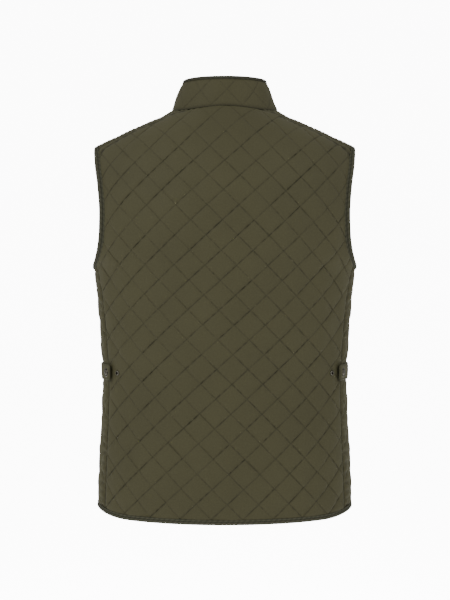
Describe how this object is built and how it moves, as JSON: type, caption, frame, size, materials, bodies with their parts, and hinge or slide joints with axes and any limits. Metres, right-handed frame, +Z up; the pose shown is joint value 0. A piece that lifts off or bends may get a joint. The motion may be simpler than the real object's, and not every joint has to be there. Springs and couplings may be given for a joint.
{
  "type": "quilted vest",
  "caption": "Sleeveless diamond-quilted vest, filled out as worn, with a stand collar, bound edges, press-stud front and side adjuster tabs.",
  "frame": {"origin": "inside the vest on its centre plane, level with the middle of the shoulders, where the wearer's shoulders carry it", "axes": "+Z up along the body, the front faces -Y, the wearer's left is +X"},
  "size_m": [0.432, 0.2836, 0.7012],
  "materials": {
    "quilted_cloth": "smooth woven shell with a faint sheen, diamond quilted",
    "binding_tape": "matt woven binding tape",
    "tab_cloth": "smooth woven shell, edge stitched",
    "stud_metal": "dull antique metal"
  },
  "bodies": {
    "root": {"back_panel": "quilted_cloth", "front_left_panel": "quilted_cloth", "front_right_panel": "quilted_cloth", "collar": "quilted_cloth", "armhole_left_binding": "binding_tape", "armhole_right_binding": "binding_tape", "hem_binding": "binding_tape", "front_left_binding": "binding_tape", "front_right_binding": "binding_tape", "collar_binding": "binding_tape", "tab_left": "tab_cloth", "tab_right": "tab_cloth", "tab_left_stud": "stud_metal", "tab_right_stud": "stud_metal", "spare_left_stud": "stud_metal", "spare_right_stud": "stud_metal", "front_stud_1": "stud_metal", "front_stud_2": "stud_metal", "front_stud_3": "stud_metal", "front_stud_4": "stud_metal", "front_stud_5": "stud_metal", "front_stud_6": "stud_metal", "collar_stud": "stud_metal"}
  },
  "joints": []
}
